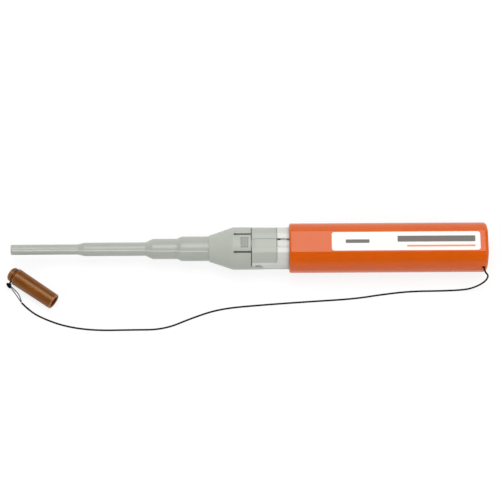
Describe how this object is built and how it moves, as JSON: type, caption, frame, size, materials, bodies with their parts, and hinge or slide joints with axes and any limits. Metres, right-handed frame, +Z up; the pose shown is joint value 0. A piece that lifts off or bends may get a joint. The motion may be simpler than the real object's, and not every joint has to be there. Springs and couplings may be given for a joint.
{
  "type": "fibre connector cleaning pen",
  "caption": "Push-to-clean pen for fibre optic connectors: stepped nozzle, conical nose, clear case, sliding grip over reels of cleaning thread, and a tip cap on a cord",
  "frame": {"origin": "middle of the pen's length, on the surface that it lies on, under its axis; the strap and the cap beside the pen aren't counted", "axes": "+X runs from the nozzle's tip to the closed end of the grip, +Z is up, the label faces up, and the cap lies on the -Y side"},
  "size_m": [0.2349, 0.0506, 0.022],
  "materials": {
    "grip": "orange ABS, smooth moulded gloss",
    "label": "white film label, satin",
    "nose": "warm grey moulded plastic, fine satin",
    "clear_case": "clear frosted polycarbonate",
    "inner_plastic": "natural acetal",
    "spring_steel": "bright drawn spring wire",
    "thread": "white stranded microfibre thread",
    "cap": "brown translucent moulded plastic",
    "cord": "black braided cord"
  },
  "bodies": {
    "barrel": {"barrel_shell": "grip", "barrel_label": "label", "drive_rack": "grip", "return_spring": "spring_steel", "tip_cap": "cap", "strap_cord": "cord", "strap_loop": "cord", "strap_knot": "cord"},
    "mechanism": {"nose_cone": "nose", "front_collar": "nose", "case_top": "clear_case", "case_bottom": "clear_case", "thread_guide": "inner_plastic", "brake_washer": "spring_steel", "thread_span": "thread", "take_up_strand": "thread", "supply_strand": "thread"},
    "nozzle": {"nozzle_tube": "nose", "tip_tube": "nose"},
    "cam": {"turning_cam": "inner_plastic", "head_spring": "spring_steel"},
    "wiper": {"wiper_shaft": "inner_plastic", "wiper_head": "inner_plastic", "cleaning_thread": "thread"},
    "pinion": {"rack_pinion": "inner_plastic", "transfer_gear": "inner_plastic"},
    "take_up": {"take_up_reel": "inner_plastic", "take_up_winding": "thread"},
    "supply": {"supply_reel": "inner_plastic", "supply_winding": "thread"}
  },
  "joints": [
    {"name": "grip_push", "type": "slide", "parent": "barrel", "child": "mechanism", "axis": [1, 0, 0], "range_m": [0, 0.012], "stiffness_N_per_m": 250, "springref_m": -0.012, "deforming": ["return_spring"]},
    {"name": "nozzle_slide", "type": "slide", "parent": "mechanism", "child": "nozzle", "axis": [1, 0, 0], "range_m": [0, 0.013], "deforming": ["thread_span"]},
    {"name": "cam_turn", "type": "hinge", "parent": "nozzle", "child": "cam", "pos_m": [-0.0126, 0, 0.01095], "axis": [1, 0, 0], "range_deg": [0, 180]},
    {"name": "head_recoil", "type": "slide", "parent": "cam", "child": "wiper", "axis": [1, 0, 0], "range_m": [0, 0.001], "stiffness_N_per_m": 800, "springref_m": -0.001, "deforming": ["head_spring"]},
    {"name": "pinion_turn", "type": "hinge", "parent": "mechanism", "child": "pinion", "pos_m": [0.0366, 0.002, 0.01095], "axis": [0, 0, 1], "range_deg": [0, 122.8]},
    {"name": "take_up_turn", "type": "hinge", "parent": "mechanism", "child": "take_up", "pos_m": [0.04843, 0, 0.01095], "axis": [0, 0, 1], "range_deg": [-107.5, 0]},
    {"name": "supply_turn", "type": "hinge", "parent": "mechanism", "child": "supply", "pos_m": [0.06331, 0, 0.01095], "axis": [0, 0, 1], "range_deg": [-85.3, 0]}
  ],
  "couplings": [
    {"joint": "cam_turn", "follows": "grip_push", "rad_per_m": 261.79},
    {"joint": "pinion_turn", "follows": "grip_push", "rad_per_m": 178.57},
    {"joint": "take_up_turn", "follows": "grip_push", "rad_per_m": -156.25},
    {"joint": "supply_turn", "follows": "grip_push", "rad_per_m": -124.01}
  ]
}
